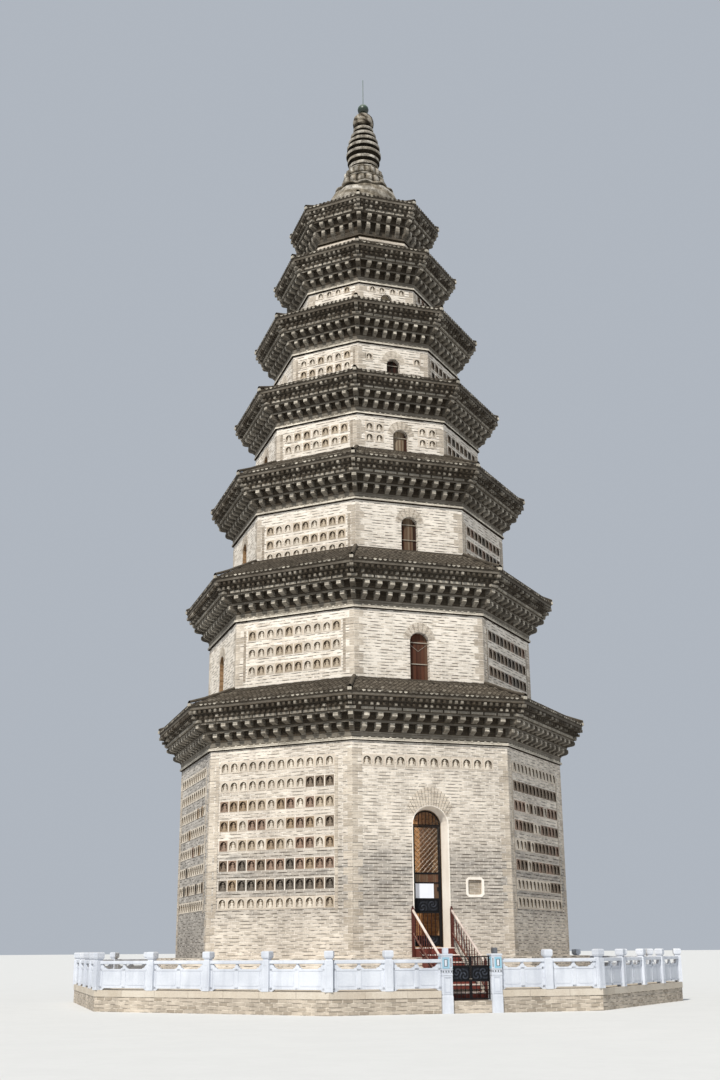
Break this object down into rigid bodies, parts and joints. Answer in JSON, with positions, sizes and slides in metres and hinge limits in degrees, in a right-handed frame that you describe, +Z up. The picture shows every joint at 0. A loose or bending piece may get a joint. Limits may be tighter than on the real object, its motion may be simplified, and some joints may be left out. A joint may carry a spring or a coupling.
{
  "type": "brick pagoda",
  "caption": "Octagonal brick tower in stacked storeys with corbelled cornices and tiled roofs, a ringed finial, a hinged door, and a low balustraded terrace with a two-leaf gate.",
  "frame": {"origin": "on the ground at the tower's axis, in the middle of the terrace's underside", "axes": "+Z up along the tower's axis; the door faces -Y; +X is to the right as one faces the door"},
  "size_m": [18.982, 18.982, 35.66],
  "materials": {
    "brick": "rough, weathered grey-beige brick with pale joints",
    "pale_brick": "rough, sun-bleached brick with traces of lime",
    "cornice_brick": "rough, dark weathered brick with pale bracket ends",
    "roof_tile": "matt grey fired clay tile",
    "white_stone": "smooth whitish marble-like stone",
    "coping_stone": "dressed beige stone",
    "black_iron": "black painted iron, satin",
    "brown_wood": "dull brown painted boards",
    "red_paint": "red-brown paint, worn",
    "finial_plaster": "pale lime plaster over brick, eroded",
    "glazed": "greenish glazed clay"
  },
  "bodies": {
    "building": {"terrace_wall_left": "brick", "terrace_wall_right": "brick", "terrace_wall_middle": "brick", "gate_sill": "brick", "terrace_coping": "coping_stone", "balustrade_front_left": "white_stone", "balustrade_front_right": "white_stone", "balustrade_side_right_front": "white_stone", "balustrade_side_right": "white_stone", "balustrade_side_right_back": "white_stone", "balustrade_side_back": "white_stone", "balustrade_side_left_back": "white_stone", "balustrade_side_left": "white_stone", "balustrade_side_left_front": "white_stone", "gate_post_left": "white_stone", "gate_post_right": "white_stone", "tower_podium": "pale_brick", "door_stair": "red_paint", "stair_rail_left": "red_paint", "stair_rail_right": "red_paint", "ground_floor": "brick", "door_frame": "black_iron", "wall_1_front_left_of_door": "brick", "wall_1_front_right_of_door": "brick", "wall_1_over_door": "brick", "wall_1_right": "brick", "wall_1_left": "brick", "wall_2": "pale_brick", "wall_3": "pale_brick", "wall_4": "pale_brick", "wall_5": "pale_brick", "wall_6": "pale_brick", "wall_7": "pale_brick", "shutter_2": "brown_wood", "shutter_3": "brown_wood", "shutter_4": "brown_wood", "shutter_5": "brown_wood", "shutter_6": "brown_wood", "cornice_1": "cornice_brick", "cornice_2": "cornice_brick", "cornice_3": "cornice_brick", "cornice_4": "cornice_brick", "cornice_5": "cornice_brick", "cornice_6": "cornice_brick", "cornice_7": "cornice_brick", "roof_1": "roof_tile", "roof_2": "roof_tile", "roof_3": "roof_tile", "roof_4": "roof_tile", "roof_5": "roof_tile", "roof_6": "roof_tile", "roof_7": "roof_tile", "finial_mound": "finial_plaster", "finial_lotus": "finial_plaster", "finial_rings": "finial_plaster", "finial_bulb": "finial_plaster", "finial_ball_and_rod": "glazed"},
    "gate_left": {"gate_leaf_left": "black_iron"},
    "gate_right": {"gate_leaf_right": "black_iron"},
    "door": {"door_leaf": "black_iron"}
  },
  "joints": [
    {"name": "gate_left_hinge", "type": "hinge", "parent": "building", "child": "gate_left", "pos_m": [-0.7835, -9.17107, 0.86], "axis": [0, 0, 1], "range_deg": [0, 90]},
    {"name": "gate_right_hinge", "type": "hinge", "parent": "building", "child": "gate_right", "pos_m": [0.3099, -9.20734, 0.86], "axis": [0, 0, -1], "range_deg": [0, 90]},
    {"name": "door_hinge", "type": "hinge", "parent": "building", "child": "door", "pos_m": [-0.5, -5.63195, 3.36], "axis": [0, 0, 1], "range_deg": [0, 90]}
  ]
}
